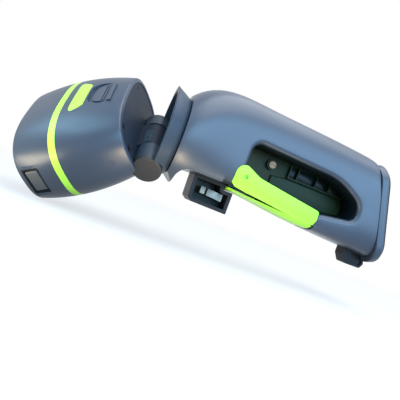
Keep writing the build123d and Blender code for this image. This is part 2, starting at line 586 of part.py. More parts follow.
with BuildPart() as housing:
    add(housing_form.part)
    # hand window from both sides, closed by a web
    with BuildSketch(SIDE.offset(-WEB_NEAR)):
        side_face(WINDOW, WINDOW_ROUNDS)
    extrude(amount=SIDE_CUT, mode=Mode.SUBTRACT)
    rim = [e for e in edges(Select.LAST) if e.center().Y < HUB.Y - 15]
    fillet(rim, WINDOW_ROUND)
    with BuildSketch(SIDE.offset(-WEB_NEAR - WEB_THICK)):
        side_face(WINDOW, WINDOW_ROUNDS)
    extrude(amount=-SIDE_CUT, mode=Mode.SUBTRACT)
    rim = [e for e in edges(Select.LAST) if e.center().Y > HUB.Y + 15]
    fillet(rim, WINDOW_ROUND)
    # scoop under the front, where the contact bracket hangs
    with BuildSketch(SIDE):
        side_face([(21.5, -60), (21.5, BRACKET_TOP), (LEVER_FRONT - GAP, BRACKET_TOP), (LEVER_FRONT - GAP, -60)],
                  [0, 11, 0, 0])
        Polygon((FACE_AT - 5, -32), (FACE_AT, -32.5), (20.8, -39.4), (21.6, -60), (FACE_AT - 5, -60), align=None)
    extrude(amount=SIDE_CUT, both=True, mode=Mode.SUBTRACT)
    # bay for the lever round the rail
    for near in (1, -1):
        with BuildSketch(SIDE.offset(near * CORE_HALF)):
            side_face(LEVER, LEVER_ROUNDS, GAP)
        extrude(amount=near * SIDE_CUT, mode=Mode.SUBTRACT)
        with BuildSketch(SIDE.offset(near * CORE_HALF)):
            side_face([squeezed(point) for point in LEVER], LEVER_ROUNDS, GAP)
        extrude(amount=near * SIDE_CUT, mode=Mode.SUBTRACT)
    with BuildSketch(SIDE):
        with Locations(((LEVER_FRONT + LEVER_REAR) / 2, CORE_BOTTOM - 20)):
            Rectangle(LEVER_REAR - LEVER_FRONT + 2 * GAP, 40)
    extrude(amount=CORE_HALF + 1, both=True, mode=Mode.SUBTRACT)
    # front cavity, bore for the neck and bores for the battery cells
    with BuildSketch(SIDE):
        with Locations(((CAVITY_START + CAVITY_END) / 2, (CAVITY_TOP + CAVITY_BOTTOM) / 2)):
            Rectangle(CAVITY_END - CAVITY_START, CAVITY_TOP - CAVITY_BOTTOM)
    extrude(amount=CAVITY_HALF, both=True, mode=Mode.SUBTRACT)
    disc(COLLAR, FACE_AT - 1, 30, HUB_RADIUS + RUN, Mode.SUBTRACT)
    for across in (-CELL_SPREAD, CELL_SPREAD):
        bore = Plane(origin=HUB + Vector(0, across, CELL_HEIGHT), x_dir=(0, 1, 0), z_dir=(1, 0, 0))
        disc(bore, CELL_START - 2, CELL_START + 2 * CELL_LENGTH + 2, CELL_RADIUS + SEAT, Mode.SUBTRACT)
    # switch pocket, spring pocket and pivot bore in the rail
    with BuildSketch(SIDE):
        with Locations((SWITCH_AT, SWITCH_TOP - 10 + SEAT)):
            Rectangle(20 + 2 * SEAT, 20)
    extrude(amount=7 + SEAT, both=True, mode=Mode.SUBTRACT)
    disc(Plane(origin=HUB + Vector(SPRING_AT, 0, 0)), -40, SPRING_TOP, SPRING_RADIUS + 0.8, Mode.SUBTRACT)
    with BuildSketch(SIDE):
        with Locations(LEVER_PIVOT):
            Circle(LEVER_PIN_RADIUS + RUN)
    extrude(amount=CORE_HALF + 1, both=True, mode=Mode.SUBTRACT)
    # bores of the housing screws, from the far side
    with BuildSketch(SIDE.offset(10)):
        with Locations(*SCREW_SPOTS):
            Circle(SCREW_RADIUS)
    extrude(amount=-32, mode=Mode.SUBTRACT)
    with BuildSketch(SIDE.offset(-20)):
        with Locations(*SCREW_SPOTS):
            Circle(SCREW_HEAD + GAP)
    extrude(amount=-SIDE_CUT, mode=Mode.SUBTRACT)

with BuildPart() as handle_shell_near:
    add(housing.part)
    split(bisect_by=SIDE, keep=Keep.TOP)
finish(handle_shell_near, "handle_shell_near")

with BuildPart() as handle_shell_far:
    add(housing.part)
    split(bisect_by=SIDE, keep=Keep.BOTTOM)
    # a row of ribbed cells under the grip, over a ledge
    with BuildSketch(SIDE.offset(-WEB_NEAR)):
        with Locations((161, 3.6)):
            Rectangle(66, 1.4)
        with Locations(*[(x, 10) for x in (128.6, 137.5, 158, 173, 193.4)]):
            Rectangle(1.2, 12.5)
    extrude(amount=WEB_NEAR - 0.2)
    with BuildSketch(SIDE.offset(-WEB_NEAR)):
        with Locations(WEB_SCREW_AT):
            Circle(5)
    extrude(amount=WEB_NEAR - 0.2)
    with BuildSketch(SIDE.offset(-WEB_NEAR - WEB_THICK)):
        with Locations(WEB_SCREW_AT):
            Circle(SCREW_RADIUS)
    extrude(amount=WEB_THICK + WEB_NEAR, mode=Mode.SUBTRACT)
finish(handle_shell_far, "handle_shell_far")

with BuildPart() as squeeze_lever:
    add(housing_form.part)
    with BuildSketch(SIDE):
        side_face(LEVER, LEVER_ROUNDS)
    extrude(amount=SIDE_CUT, both=True, mode=Mode.INTERSECT)
    with BuildSketch(SIDE):
        Polygon((LEVER_FRONT - FLOOR_RUN, FLOOR_FRONT), (LEVER_REAR + FLOOR_RUN, FLOOR_REAR),
                (LEVER_REAR + FLOOR_RUN, 10), (LEVER_FRONT - FLOOR_RUN, 10), align=None)
    extrude(amount=CORE_HALF + GAP, both=True, mode=Mode.SUBTRACT)
    for near in (1, -1):
        with BuildSketch(SIDE.offset(near * (CORE_HALF + GAP))):
            Polygon(*FRONT_NOTCH, align=None)
            Polygon(*REAR_NOTCH, align=None)
        extrude(amount=near * SIDE_CUT, mode=Mode.SUBTRACT)
    with BuildSketch(SIDE):
        with Locations(LEVER_PIVOT):
            Circle(LEVER_PIN_RADIUS + RUN)
    extrude(amount=SIDE_CUT, both=True, mode=Mode.SUBTRACT)
finish(squeeze_lever, "squeeze_lever")

with BuildPart() as lever_pin:
    with BuildSketch(SIDE):
        with Locations(LEVER_PIVOT):
            Circle(LEVER_PIN_RADIUS)
    extrude(amount=CORE_HALF + GAP + LEVER_WALL - 0.6, both=True)
finish(lever_pin, "lever_pin")

# ---- switch and spring under the rail --------------------------------------------
PLUNGER_RADIUS = 2.0
SWITCH_HEIGHT = 8.6
switch_foot = SWITCH_TOP - SWITCH_HEIGHT
UPRIGHT = Plane(origin=HUB + Vector(SWITCH_AT, 0, 0))
floor_slope = (FLOOR_REAR - FLOOR_FRONT) / (LEVER_REAR - LEVER_FRONT + 2 * FLOOR_RUN)
lever_floor = FLOOR_FRONT + (SWITCH_AT - LEVER_FRONT + FLOOR_RUN) * floor_slope

with BuildPart() as trigger_switch:
    with BuildSketch(UPRIGHT.offset(switch_foot)):
        Rectangle(20, 14)
    extrude(amount=SWITCH_HEIGHT)
    disc(UPRIGHT, switch_foot - 1, SWITCH_TOP - 2.6, PLUNGER_RADIUS + RUN, Mode.SUBTRACT)
finish(trigger_switch, "trigger_switch")

with BuildPart() as switch_plunger:
    disc(UPRIGHT, lever_floor + SEAT, switch_foot + 3.4, PLUNGER_RADIUS)
finish(switch_plunger, "switch_plunger")

SPRING_WIRE = 0.8
SPRING_TURNS = 4
spring_foot = FLOOR_FRONT + (SPRING_AT - LEVER_FRONT + FLOOR_RUN) * floor_slope
SPRING_STAND = Plane(origin=HUB + Vector(SPRING_AT, 0, 0))

with BuildPart() as lever_spring:
    spring_rise = SPRING_TOP - spring_foot - SPRING_WIRE - 2 * SEAT
    spring_start = HUB + Vector(SPRING_AT, 0, spring_foot + SPRING_WIRE / 2 + SEAT)
    with BuildLine() as coil:
        Helix(pitch=spring_rise / SPRING_TURNS, height=spring_rise, radius=SPRING_RADIUS - SPRING_WIRE / 2,
              center=spring_start)
    with BuildSketch(Plane(origin=coil.line @ 0, z_dir=coil.line % 0)):
        Circle(SPRING_WIRE / 2)
    sweep(path=coil.line, is_frenet=True)
finish(lever_spring, "lever_spring")

# ---- battery and control board ---------------------------------------------------
with BuildPart() as battery_cells:
    for across in (-CELL_SPREAD, CELL_SPREAD):
        for place in (0, 1):
            rod = Plane(origin=HUB + Vector(0, across, CELL_HEIGHT), x_dir=(0, 1, 0), z_dir=(1, 0, 0))
            cell_start = CELL_START + place * CELL_LENGTH
            disc(rod, cell_start + SEAT, cell_start + CELL_LENGTH - SEAT - 1.2, CELL_RADIUS)
            disc(rod, cell_start + CELL_LENGTH - 1.2 - SEAT, cell_start + CELL_LENGTH - SEAT, 3)
finish(battery_cells, "battery_cells")

with BuildPart() as battery_contacts:
    for end in (CELL_START - 0.4, CELL_START + 2 * CELL_LENGTH + 0.4):
        for across in (-CELL_SPREAD, CELL_SPREAD):
            leaf = Plane(origin=HUB + Vector(0, across, CELL_HEIGHT), x_dir=(0, 1, 0), z_dir=(1, 0, 0))
            disc(leaf, end - 0.4, end + 0.4, CELL_RADIUS - 0.1)
finish(battery_contacts, "battery_contacts")

with BuildPart() as control_board:
    with BuildSketch(SIDE.offset(CAVITY_HALF - SEAT)):
        with Locations((43, 9)):
            Rectangle(38, 46)
    extrude(amount=-1.6)
    with BuildSketch(SIDE.offset(CAVITY_HALF - SEAT - 1.6)):
        with Locations((36, 20)):
            Rectangle(12, 14)
        with Locations((52, 18)):
            Rectangle(9, 9)
        with Locations((44, -2)):
            Circle(5)
    extrude(amount=-6)
finish(control_board, "control_board")

# ---- end plate, contact bracket and foot -----------------------------------------------
with BuildPart() as end_plate:
    with BuildSketch(END_CENTRE):
        with BuildLine():
            oval(END_HALF - GAP, (END_TOP - END_BOTTOM) / 2 - GAP, END_POWER)
        make_face()
    extrude(amount=END_THICK)
    fillet(edges().sort_by(Axis(END_CENTRE.origin, END.z_dir))[-1], 2.5)
    with BuildSketch(END_CENTRE.offset(END_THICK - 3)):
        with GridLocations(36, 62, 2, 2):
            Circle(SCREW_HEAD + GAP)
    extrude(amount=4, mode=Mode.SUBTRACT)
    with BuildSketch(END_CENTRE):
        with GridLocations(36, 62, 2, 2):
            Circle(SCREW_RADIUS + SEAT)
    extrude(amount=END_THICK, mode=Mode.SUBTRACT)
finish(end_plate, "end_plate")

with BuildPart() as end_plate_screws:
    with BuildSketch(END_CENTRE.offset(END_THICK - 3)):
        with GridLocations(36, 62, 2, 2):
            Circle(SCREW_HEAD)
    extrude(amount=1.8)
    with BuildSketch(END_CENTRE.offset(0.2)):
        with GridLocations(36, 62, 2, 2):
            Circle(SCREW_RADIUS)
    extrude(amount=END_THICK - 3)
finish(end_plate_screws, "end_plate_screws")

BRACKET = [(39, BRACKET_TOP), (68.4, BRACKET_TOP), (68.9, -30.2), (77.9, -30.4), (77.9, -50.5), (43.5, -49.6),
           (39.6, -46.4)]
BRACKET_ROUNDS = [0, 0, 0.6, 1, 1, 2, 2]

with BuildPart() as contact_bracket:
    with BuildSketch(SIDE):
        side_face(BRACKET, BRACKET_ROUNDS)
    extrude(amount=BRACKET_HALF, both=True)
    with BuildSketch(SIDE.offset(BRACKET_BACK)):
        side_face(BRACKET, BRACKET_ROUNDS, -BRACKET_WALL)
    extrude(amount=2 * BRACKET_HALF, mode=Mode.SUBTRACT)
finish(contact_bracket, "contact_bracket")

with BuildPart() as contact_block:
    with BuildSketch(SIDE.offset(BRACKET_BACK)):
        side_face(BRACKET, BRACKET_ROUNDS, -BRACKET_WALL - SEAT)
    extrude(amount=3)
finish(contact_block, "contact_block")

with BuildPart() as contact_blades:
    with BuildSketch(SIDE.offset(BRACKET_BACK + 3 + SEAT)):
        Polygon((49.5, -33.5), (54, -33.6), (54, -39.8), (49.5, -39.6), align=None)
        Polygon((56, -33.8), (71, -34.6), (71, -41.2), (56, -40), align=None)
    extrude(amount=BLADE_LENGTH)
finish(contact_blades, "contact_blades")

FOOT = [(203.5, -36), (203.5, -47), (209, -54.6), (229, -54.6), (232.5, -50), (229, -36)]
FOOT_ROUNDS = [0, 3, 3, 3, 2, 0]

with BuildPart() as hanging_foot:
    with BuildSketch(SIDE):
        side_face(FOOT, FOOT_ROUNDS)
    extrude(amount=FOOT_WIDTH / 2, both=True)
    with BuildSketch(SIDE.offset(FOOT_WIDTH / 2)):
        side_face(FOOT, FOOT_ROUNDS, -FOOT_RIM)
    extrude(amount=-FOOT_RECESS, mode=Mode.SUBTRACT)
    add(housing_form.part, mode=Mode.SUBTRACT)
    add(end_plate.part, mode=Mode.SUBTRACT)
finish(hanging_foot, "hanging_foot")

with BuildPart() as handle_screws:
    with BuildSketch(SIDE.offset(-20)):
        with Locations(*SCREW_SPOTS):
            Circle(SCREW_HEAD)
    extrude(amount=-1.8)
    with BuildSketch(SIDE.offset(8)):
        with Locations(*SCREW_SPOTS):
            Circle(SCREW_RADIUS)
    extrude(amount=-28)
finish(handle_screws, "handle_screws")

with BuildPart() as web_screw:
    with BuildSketch(SIDE.offset(-0.2)):
        with Locations(WEB_SCREW_AT):
            Circle(3.4)
            Rectangle(4.4, 0.9, mode=Mode.SUBTRACT)
    extrude(amount=1.6)
    with BuildSketch(SIDE.offset(0.3)):
        with Locations(WEB_SCREW_AT):
            Circle(SCREW_RADIUS)
    extrude(amount=-WEB_THICK - WEB_NEAR + 0.4)
finish(web_screw, "web_screw")
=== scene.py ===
from math import cos, pi, radians, sin

import bmesh
import bpy
from mathutils import Matrix, Vector


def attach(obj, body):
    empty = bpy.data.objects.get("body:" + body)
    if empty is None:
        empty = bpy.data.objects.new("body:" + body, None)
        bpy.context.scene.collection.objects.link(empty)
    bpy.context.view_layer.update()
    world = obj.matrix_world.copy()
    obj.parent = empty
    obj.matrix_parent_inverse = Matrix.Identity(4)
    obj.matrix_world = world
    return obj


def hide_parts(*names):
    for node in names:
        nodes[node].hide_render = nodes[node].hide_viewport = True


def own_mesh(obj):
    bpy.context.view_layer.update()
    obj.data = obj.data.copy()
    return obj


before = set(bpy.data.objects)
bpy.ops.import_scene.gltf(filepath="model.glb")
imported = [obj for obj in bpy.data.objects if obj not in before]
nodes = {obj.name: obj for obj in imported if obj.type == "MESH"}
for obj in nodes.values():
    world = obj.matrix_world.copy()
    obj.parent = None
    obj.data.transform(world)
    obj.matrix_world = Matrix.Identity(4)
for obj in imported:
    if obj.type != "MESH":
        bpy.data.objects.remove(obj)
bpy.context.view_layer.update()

# ---- Room: a sweep of white paper under the tool and a pale sky round it. One cool lamp
# ---- hangs overhead, two blue ones stand in front and to the left, and three small warm
# ---- cards lie on the floor and light the undersides.
HUB = Vector((-0.05964, -0.02708, 0.09361))     # the swivel's centre
TOOL_MIDDLE = (0, 0, 0.08)
FLOOR_SIZE, FLOOR_DROP = 6.0, 0.0005
WHITE = (1.0, 1.0, 1.0, 1)
PAPER_COLOUR = (0.20, 0.155, 0.115, 1)          # as the tool sees it
PAPER_LIT, PAPER_GLOW = (0.22, 0.22, 0.22, 1), 0.68     # as the lens sees it near the tool
SHADOW_REACH = 0.35, 0.9                        # between these it fades to plain white
SKY_LEVEL = 0.50
SKY_STOPS = ((0.46, (0.16, 0.12, 0.09, 1)), (0.53, (0.85, 0.72, 0.58, 1)),
             (0.62, (0.38, 0.54, 0.82, 1)), (0.90, (0.66, 0.76, 0.88, 1)))
LAMPS = (       # where each lamp is, where it faces, its size, its watts and its colour
    ("overhead_lamp", (0.15, -0.30, 1.3), TOOL_MIDDLE, (1.4, 1.4), 25, (0.92, 0.97, 1.0)),
    ("blue_lamp", (0.45, -1.15, 0.42), TOOL_MIDDLE, (1.4, 0.75), 27, (0.34, 0.64, 1.0)),
    ("left_lamp", (-1.10, -0.32, 0.72), (-0.12, -0.05, 0.07), (1.3, 0.5), 13, (0.40, 0.74, 1.0)))
CARDS = (       # the same for the cards, which face straight up
    ("warm_card", (-0.200, -0.078), (0.07, 0.06), 0.17, (1.0, 0.86, 0.62)),
    ("lip_card", (-0.030, -0.125), (0.05, 0.05), 0.17, (1.0, 0.80, 0.52)),
    ("lever_card", (0.070, -0.088), (0.10, 0.025), 0.05, (1.0, 0.95, 0.85)))
CARD_HEIGHT = 0.002
LENS_LENGTH, SENSOR_WIDTH, NEAREST = 37.55, 36.0, 0.01
LENS_PLACE = HUB + Vector((-0.0276, -0.3774, -0.0459))
LENS_ACROSS = Vector((0.9158, -0.1999, 0.3484))
LENS_BACKWARD = Vector((-0.2133, -0.9770, 0.0))


def mixed(tree, factor, first, second):
    """Mixes two shaders of the room."""
    mix = tree.nodes.new("ShaderNodeMixShader")
    for socket, source in zip(mix.inputs, (factor, first, second)):
        tree.links.new(source, socket)
    return mix.outputs[0]


def backdrop_rays(tree):
    """The rays that see a white backdrop: from the lens, in gloss and through glass."""
    rays = tree.nodes.new("ShaderNodeLightPath")
    total = rays.outputs["Is Camera Ray"]
    for name in ("Is Glossy Ray", "Is Transmission Ray"):
        either = tree.nodes.new("ShaderNodeMath")
        either.operation = "MAXIMUM"
        tree.links.new(total, either.inputs[0])
        tree.links.new(rays.outputs[name], either.inputs[1])
        total = either.outputs[0]
    return total


world = bpy.data.worlds.new("room")
bpy.context.scene.world = world
world.use_nodes = True
tree = world.node_tree
tree.nodes.clear()
direction = tree.nodes.new("ShaderNodeTexCoord")
split = tree.nodes.new("ShaderNodeSeparateXYZ")
tree.links.new(direction.outputs["Generated"], split.inputs[0])
up = tree.nodes.new("ShaderNodeMapRange")
up.inputs["From Min"].default_value = -1
tree.links.new(split.outputs["Z"], up.inputs["Value"])
shade = tree.nodes.new("ShaderNodeValToRGB")
tree.links.new(up.outputs[0], shade.inputs[0])
stops = shade.color_ramp.elements
for position, colour in SKY_STOPS[1:-1]:
    stops.new(position)
for element, (position, colour) in zip(stops, SKY_STOPS):
    element.position, element.color = position, colour
sky = tree.nodes.new("ShaderNodeBackground")
sky.inputs["Strength"].default_value = SKY_LEVEL
tree.links.new(shade.outputs[0], sky.inputs["Color"])
seen = tree.nodes.new("ShaderNodeBackground")
seen.inputs["Color"].default_value = WHITE
out = tree.nodes.new("ShaderNodeOutputWorld")
tree.links.new(mixed(tree, backdrop_rays(tree), sky.outputs[0], seen.outputs[0]), out.inputs[0])

bm = bmesh.new()
bmesh.ops.create_grid(bm, x_segments=1, y_segments=1, size=FLOOR_SIZE)
floor_mesh = bpy.data.meshes.new("floor")
bm.to_mesh(floor_mesh)
bm.free()
floor = bpy.data.objects.new("floor", floor_mesh)
bpy.context.scene.collection.objects.link(floor)
floor.location.z = -FLOOR_DROP
paper = bpy.data.materials.new("backdrop_paper")
paper.use_nodes = True
tree = paper.node_tree
tree.nodes.clear()
dull, lit = (tree.nodes.new("ShaderNodeBsdfDiffuse") for _ in range(2))
dull.inputs["Color"].default_value, lit.inputs["Color"].default_value = PAPER_COLOUR, PAPER_LIT
glow, far_glow = (tree.nodes.new("ShaderNodeEmission") for _ in range(2))
glow.inputs["Strength"].default_value = PAPER_GLOW
shaded = tree.nodes.new("ShaderNodeAddShader")
tree.links.new(lit.outputs[0], shaded.inputs[0])
tree.links.new(glow.outputs[0], shaded.inputs[1])
ground = tree.nodes.new("ShaderNodeTexCoord")
reach = tree.nodes.new("ShaderNodeVectorMath")
reach.operation = "LENGTH"
tree.links.new(ground.outputs["Object"], reach.inputs[0])
fade = tree.nodes.new("ShaderNodeMapRange")
fade.inputs["From Min"].default_value, fade.inputs["From Max"].default_value = SHADOW_REACH
tree.links.new(reach.outputs["Value"], fade.inputs["Value"])
sweep = mixed(tree, fade.outputs[0], shaded.outputs[0], far_glow.outputs[0])
out = tree.nodes.new("ShaderNodeOutputMaterial")
tree.links.new(mixed(tree, backdrop_rays(tree), dull.outputs[0], sweep), out.inputs[0])
floor_mesh.materials.append(paper)

cards = tuple((name, (*place, CARD_HEIGHT), (*place, 1), size, watts, colour)
              for name, place, size, watts, colour in CARDS)
for name, place, aim, (width, height), watts, colour in LAMPS + cards:
    lamp = bpy.data.lights.new(name, "AREA")
    lamp.shape, lamp.size, lamp.size_y = "RECTANGLE", width, height
    lamp.energy, lamp.color = watts, colour
    holder = bpy.data.objects.new(name, lamp)
    holder.location = place
    holder.rotation_euler = (Vector(aim) - Vector(place)).to_track_quat("-Z", "Y").to_euler()
    holder.visible_camera = False
    bpy.context.scene.collection.objects.link(holder)

camera = bpy.data.cameras.new("camera")
camera.lens, camera.sensor_width, camera.clip_start = LENS_LENGTH, SENSOR_WIDTH, NEAREST
viewer = bpy.data.objects.new("camera", camera)
backward = LENS_BACKWARD.normalized()
upright = backward.cross(LENS_ACROSS.normalized()).normalized()
across = upright.cross(backward)
viewer.matrix_world = (Matrix.Translation(LENS_PLACE)
                       @ Matrix((across, upright, backward)).transposed().to_4x4())
bpy.context.scene.collection.objects.link(viewer)
bpy.context.scene.camera = viewer
bpy.context.scene.view_settings.view_transform = "Standard"


# ---- Handle housing: two halves moulded in slate grey glass-filled nylon with a fine
# ---- spark-eroded grain, screwed together on the middle plane. The web behind the hand
# ---- opening is a dark olive green panel. The near-black in the cells between its ribs and
# ---- the dark on the walls of the opening are painted shade.
SLATE_DARK, SLATE_LIGHT = (0.022, 0.036, 0.058, 1), (0.030, 0.046, 0.072, 1)
SLATE_SCUFF = (0.075, 0.095, 0.125, 1)
PANEL_GREEN, PANEL_OLIVE = (0.012, 0.024, 0.008, 1), (0.050, 0.052, 0.016, 1)
# Painted shade: the near-black of the cells between the ribs, on the web and on the panes.
CELL_SHADE = (0.004, 0.010, 0.009, 1)
# Painted shade on the walls of the hand opening.
WALL_SHADE = (0.004, 0.008, 0.011, 1)
SEAM_DARK, SEAM_TINT = (0.01, 0.013, 0.018, 1), 0.75
SEAM_HALF_WIDTH, SEAM_DEPTH = 0.00016, 3
MATT_SHINE = 0.10              # of the plastic itself, under the sheen that mark gives it
WELD, SMOOTH_BEND = 0.000002, 28    # how near points are joined, and the sharpest smooth edge
CLOUDS, SMEARS, GRAIN, SCRATCHES, HANDLING = 14.0, 30.0, 2400.0, 130.0, 11.0   # per metre
SMEAR_STRETCH, SMEAR_DULLING = (1.0, 1.0, 2.4), 0.18
GRAIN_BUMP, GRAIN_DEPTH = 0.45, 0.00003
SCRATCH_STRETCH, SCRATCH_FADE = (0.35, 1.0, 2.2), ((0.66, 0.0), (0.74, 1.0))
HANDLING_FADE = (0.50, 0.0), (0.66, 0.55)
SCUFF_TINT, SCUFF_DULLING = 0.6, 0.14

# Where the painted areas lie, in metres from the swivel's centre.
WALLS_FROM, WALLS_TO, WALLS_HALF_HEIGHT = 0.062, 0.2, 0.0275
WALL_TURN, WALL_TAPER = 0.088, 0.15     # ahead of the turn the dark reaches further out
WALL_SHADE_SPREAD, WALL_SHADE_FADE = 20, ((0.484, 0.0), (0.535, 0.92))
PANEL_FROM, PANEL_TO, PANEL_HALF_HEIGHT = 0.0760, 0.1960, 0.0210
WEB_FACE = 0.0042              # how far behind the middle plane the web's near face lies
RIB_RISE = 0.0006
CELLS_FROM, CELL_FLOOR, CELL_ROOF = 0.1290, 0.0043, 0.0160
OLIVE_RUN, OLIVE_START, OLIVE_FADE = 6, 0.45, ((0.10, 1.0), (0.42, 0.0))
OLIVE_CLOUDS = 60.0


def smooth_faces(obj):
    """Joins the piece's loose triangles and shades them smooth up to SMOOTH_BEND."""
    group = bpy.data.node_groups.new(obj.name + "_smooth", "GeometryNodeTree")
    group.interface.new_socket("Geometry", in_out="INPUT", socket_type="NodeSocketGeometry")
    group.interface.new_socket("Geometry", in_out="OUTPUT", socket_type="NodeSocketGeometry")
    start = group.nodes.new("NodeGroupInput")
    end = group.nodes.new("NodeGroupOutput")
    weld = group.nodes.new("GeometryNodeMergeByDistance")
    weld.inputs["Distance"].default_value = WELD
    faces = group.nodes.new("GeometryNodeSetShadeSmooth")
    edges = group.nodes.new("GeometryNodeSetShadeSmooth")
    edges.domain = "EDGE"
    edges.inputs["Shade Smooth"].default_value = False
    bend = group.nodes.new("GeometryNodeInputMeshEdgeAngle")
    sharp = group.nodes.new("FunctionNodeCompare")
    sharp.operation = "GREATER_THAN"
    sharp.inputs[1].default_value = radians(SMOOTH_BEND)
    group.links.new(start.outputs[0], weld.inputs["Geometry"])
    group.links.new(weld.outputs[0], faces.inputs["Geometry"])
    group.links.new(faces.outputs[0], edges.inputs["Geometry"])
    group.links.new(bend.outputs["Unsigned Angle"], sharp.inputs[0])
    group.links.new(sharp.outputs[0], edges.inputs["Selection"])
    group.links.new(edges.outputs[0], end.inputs[0])
    obj.modifiers.new("smooth", "NODES").node_group = group


class Wire:
    """A shader socket that can be used in sums; each operator adds its Math node."""

    def __init__(self, paint, socket):
        self.paint, self.socket = paint, socket

    def maths(self, operation, *values):
        return self.paint.add("ShaderNodeMath", {"operation": operation}, *values)

    def __add__(self, other):
        return self.maths("ADD", self, other)

    def __sub__(self, other):
        return self.maths("SUBTRACT", self, other)

    def __rsub__(self, other):
        return self.maths("SUBTRACT", other, self)

    def __mul__(self, other):
        return self.maths("MULTIPLY", self, other)

    def __lt__(self, other):
        return self.maths("LESS_THAN", self, other)

    def __gt__(self, other):
        return self.maths("GREATER_THAN", self, other)

    def __abs__(self):
        return self.maths("ABSOLUTE", self)

    __radd__, __rmul__ = __add__, __mul__


class Paint:
    """A material that is built up from nodes on the piece's own coordinates."""

    def __init__(self, name):
        self.material = bpy.data.materials.new(name)
        self.material.use_nodes = True
        self.tree = self.material.node_tree
        self.tree.nodes.clear()
        self.place = self.add("ShaderNodeTexCoord", {"output": "Object"})

    def fill(self, sockets, values):
        """Links or sets each socket; None leaves one as it is."""
        for socket, value in zip(sockets, values):
            if isinstance(value, Wire):
                self.tree.links.new(value.socket, socket)
            elif value is not None:
                socket.default_value = value

    def add(self, kind, settings, *values, **named):
        """Adds a node, sets it up, then fills its sockets in order and by name."""
        node = self.tree.nodes.new(kind)
        output = 0
        for key, value in settings.items():
            if key == "stops":
                while len(node.color_ramp.elements) < len(value):
                    node.color_ramp.elements.new(0.5)
                for element, (position, level) in zip(node.color_ramp.elements, value):
                    element.position, element.color = position, (level, level, level, 1)
            elif key == "output":
                output = value
            else:
                setattr(node, key, value)
        self.fill(node.inputs, values)
        self.fill([node.inputs[key.replace("_", " ")] for key in named], named.values())
        return Wire(self, node.outputs[output]) if node.outputs else node

    def noise(self, scale, detail=2.0, roughness=0.5, stretch=None):
        place = self.place
        if stretch:
            place = self.add("ShaderNodeMapping", {}, place, Scale=stretch)
        return self.add("ShaderNodeTexNoise", {}, Vector=place, Scale=scale, Detail=detail,
                        Roughness=roughness)

    def ramp(self, value, *stops):
        return self.add("ShaderNodeValToRGB", {"stops": stops}, value)

    def along(self, axis):
        """The distance from the swivel's centre along X, Y or Z."""
        place = self.add("ShaderNodeSeparateXYZ", {"output": axis}, self.place)
        return place - HUB["XYZ".index(axis)]

    def blend(self, factor, first, second):
        mix = self.add("ShaderNodeMix", {"data_type": "RGBA", "output": 2})
        inputs = mix.socket.node.inputs
        self.fill((inputs[0], inputs[6], inputs[7]), (factor, first, second))
        return mix

    def finish(self, colour, roughness, bump, **fixed):
        """Closes the material with its shader; bump is a height, a strength and a depth."""
        height, strength, depth = bump
        normal = self.add("ShaderNodeBump", {}, Strength=strength, Distance=depth, Height=height)
        shader = self.add("ShaderNodeBsdfPrincipled", {}, Base_Color=colour, Roughness=roughness,
                          Normal=normal, **fixed)
        self.add("ShaderNodeOutputMaterial", {}, shader)
        return self.material


def dress(material, *names):
    """Gives solids their material and smooths them."""
    for name in names:
        nodes[name].data.materials.clear()
        nodes[name].data.materials.append(material)
        smooth_faces(nodes[name])


def moulded(name, dark, light, roughness, scuff=None, mark=None, shine=0.30):
    """Moulded plastic: a cloudy colour, handling smears in the gloss, a fine grain and a
    few faint scuffs. mark adds the piece's own colours, any painted shade, a height and
    where it has a sheen."""
    paint = Paint(name)
    cloud = paint.noise(CLOUDS, 3.0)
    smear = paint.noise(SMEARS, 4.0, 0.6, SMEAR_STRETCH)
    height = paint.noise(GRAIN, 1.0)
    colour = paint.blend(cloud, dark, light)
    rough = roughness + (smear - 0.5) * SMEAR_DULLING
    if scuff:
        scratches = paint.ramp(paint.noise(SCRATCHES, 6.0, 0.7, SCRATCH_STRETCH), *SCRATCH_FADE)
        worn = scratches * paint.ramp(paint.noise(HANDLING, 1.0), *HANDLING_FADE)
        colour = paint.blend(worn * SCUFF_TINT, colour, scuff)
        rough = rough + worn * SCUFF_DULLING
    shining = {"Specular_IOR_Level": shine}
    if mark:
        colour, height, sheen = mark(paint, colour, height)
        shining = {"Specular_IOR_Level": MATT_SHINE, "Coat_Weight": sheen * shine,
                   "Coat_Roughness": roughness}
    return paint.finish(colour, rough, (height, GRAIN_BUMP, GRAIN_DEPTH), **shining)


def seam_and_wall_shade(paint, colour, height):
    """Painted shade on the walls of the hand opening, and the thin line where the two halves meet.
    """
    depth, run, rise = paint.along("Y"), paint.along("X"), paint.along("Z")
    ahead = WALL_TURN - run
    skin = (ahead * WALL_TAPER) * (ahead > 0.0) - abs(depth)
    opening = (run > WALLS_FROM) * (run < WALLS_TO) * (abs(rise) < WALLS_HALF_HEIGHT)
    # Painted shade: the walls of the opening are darkened and lose their sheen.
    wall_shade = paint.ramp(skin * WALL_SHADE_SPREAD + 1.0, *WALL_SHADE_FADE) * opening
    seam = abs(depth) < SEAM_HALF_WIDTH
    colour = paint.blend(seam * SEAM_TINT, paint.blend(wall_shade, colour, WALL_SHADE), SEAM_DARK)
    return colour, height - seam * SEAM_DEPTH, 1.0 - wall_shade


